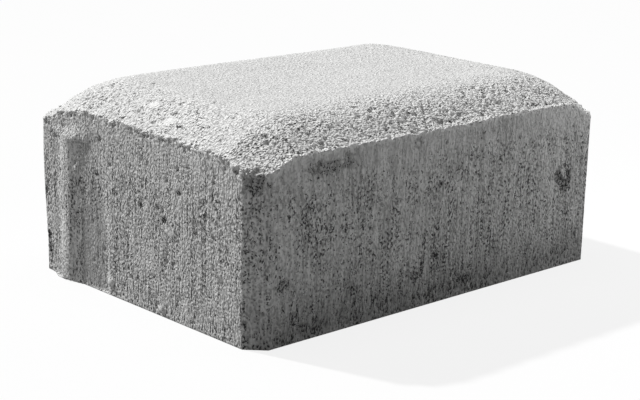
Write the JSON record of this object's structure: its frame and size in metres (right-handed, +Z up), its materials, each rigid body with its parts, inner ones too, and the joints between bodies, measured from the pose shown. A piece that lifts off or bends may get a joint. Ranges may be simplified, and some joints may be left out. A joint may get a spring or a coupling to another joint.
{
  "type": "concrete paving stone",
  "caption": "Rectangular cast concrete paving stone with a wide bevelled top, cut-off corners and a low spacer nib on each short end.",
  "frame": {"origin": "middle of the underside, which rests on the bedding", "axes": "+X along the long sides, +Y along the short ends, +Z up through the walking face"},
  "size_m": [0.198, 0.14, 0.081],
  "materials": {
    "concrete": "as-cast grey concrete: sandy pale top, coarse pitted bevel, sides dragged upright by the mould"
  },
  "bodies": {
    "root": {"paving_stone": "concrete"}
  },
  "joints": []
}
